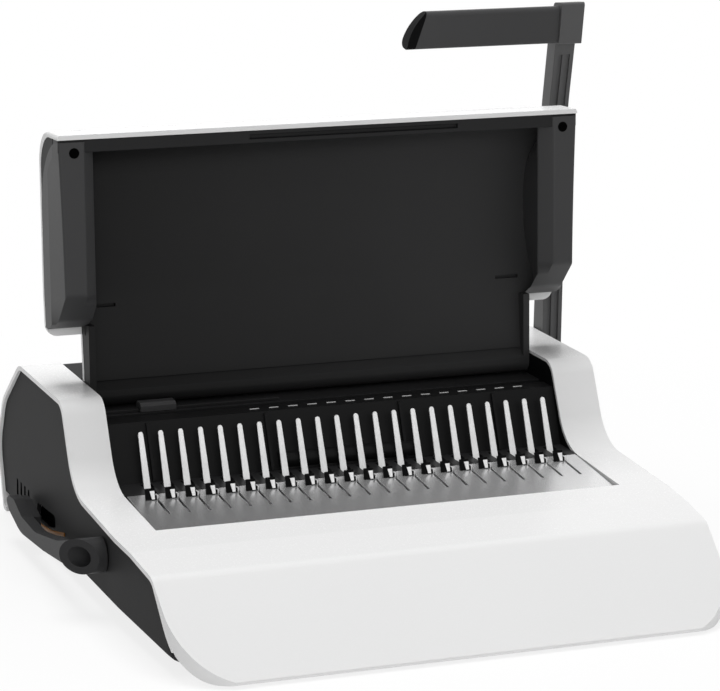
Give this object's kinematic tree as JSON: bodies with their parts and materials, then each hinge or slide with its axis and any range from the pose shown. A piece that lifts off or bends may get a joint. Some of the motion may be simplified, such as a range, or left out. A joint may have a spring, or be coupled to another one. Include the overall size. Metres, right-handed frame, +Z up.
{
  "type": "comb binding machine",
  "caption": "Desk-top comb binding machine with a tip-up lid, a side punch handle, steel comb fingers over a slotted deck and a comb-opening side lever.",
  "frame": {"origin": "on the desk, under the middle of the machine's outline", "axes": "+X to the user's right, +Y away from the user, +Z up"},
  "size_m": [0.4397, 0.4368, 0.3717],
  "materials": {
    "white_gloss": "glossy moulded plastic",
    "charcoal": "fine satin grain",
    "black": "satin black",
    "deck_steel": "brushed",
    "bright_steel": "bright satin",
    "machine_steel": "bright drawn",
    "die_metal": "machined",
    "rubber": "matte",
    "mark_white": "printed white",
    "amber": "amber brown, satin"
  },
  "bodies": {
    "base": {"base_plate": "black", "rubber_feet": "rubber", "main_shell": "white_gloss", "side_panel_left": "charcoal", "side_panel_right": "charcoal", "rear_cover": "charcoal", "deck_plate": "deck_steel", "deck_support": "black", "rake_bar": "machine_steel", "comb_fingers_left": "bright_steel", "comb_fingers_right": "bright_steel", "hook_ledge": "black", "slope_housing": "black", "throat_deck": "black", "gauge_marks": "mark_white", "guide_rail": "bright_steel", "die_plate": "die_metal", "stripper_plate": "die_metal", "throat_floor": "die_metal"},
    "lid": {"lid_shell": "white_gloss", "lid_liner": "charcoal", "lid_bolster_left": "charcoal", "lid_bolster_right": "charcoal", "lid_top_rail": "charcoal", "lid_hinge_pins": "machine_steel"},
    "handle": {"handle_arm": "charcoal", "handle_elbow": "charcoal", "handle_grip": "charcoal", "grip_end_cap": "black", "pivot_cap": "black", "handle_shaft": "machine_steel", "drive_cams": "machine_steel"},
    "punch": {"punch_bar": "machine_steel", "punch_pins": "machine_steel"},
    "comb_lever": {"comb_lever": "charcoal", "lever_shaft": "machine_steel", "lever_cranks": "machine_steel"},
    "hook_carriage": {"hook_carriage": "machine_steel", "comb_hooks_left": "bright_steel", "comb_hooks_right": "bright_steel"},
    "edge_guide": {"edge_guide": "black"},
    "chip_drawer": {"chip_drawer": "amber"}
  },
  "joints": [
    {"name": "lid_hinge", "type": "hinge", "parent": "base", "child": "lid", "pos_m": [0, 0.0855, 0.114], "axis": [1, 0, 0], "range_deg": [0, 93]},
    {"name": "handle_swing", "type": "hinge", "parent": "base", "child": "handle", "pos_m": [0, 0.14, 0.064], "axis": [1, 0, 0], "range_deg": [0, 82]},
    {"name": "punch_slide", "type": "slide", "parent": "base", "child": "punch", "axis": [0, -1, 0], "range_m": [0, 0.0115]},
    {"name": "comb_lever_swing", "type": "hinge", "parent": "base", "child": "comb_lever", "pos_m": [0, -0.0525, 0.042], "axis": [1, 0, 0], "range_deg": [0, 90]},
    {"name": "hook_slide", "type": "slide", "parent": "base", "child": "hook_carriage", "axis": [0, -1, 0], "range_m": [0, 0.0198]},
    {"name": "edge_guide_slide", "type": "slide", "parent": "base", "child": "edge_guide", "axis": [1, 0, 0], "range_m": [-0.025, 0.07]},
    {"name": "chip_drawer_slide", "type": "slide", "parent": "base", "child": "chip_drawer", "axis": [1, 0, 0], "range_m": [0, 0.15]}
  ],
  "couplings": [
    {"joint": "punch_slide", "follows": "handle_swing", "m_per_rad": 0.0080354},
    {"joint": "hook_slide", "follows": "comb_lever_swing", "m_per_rad": 0.012605}
  ]
}
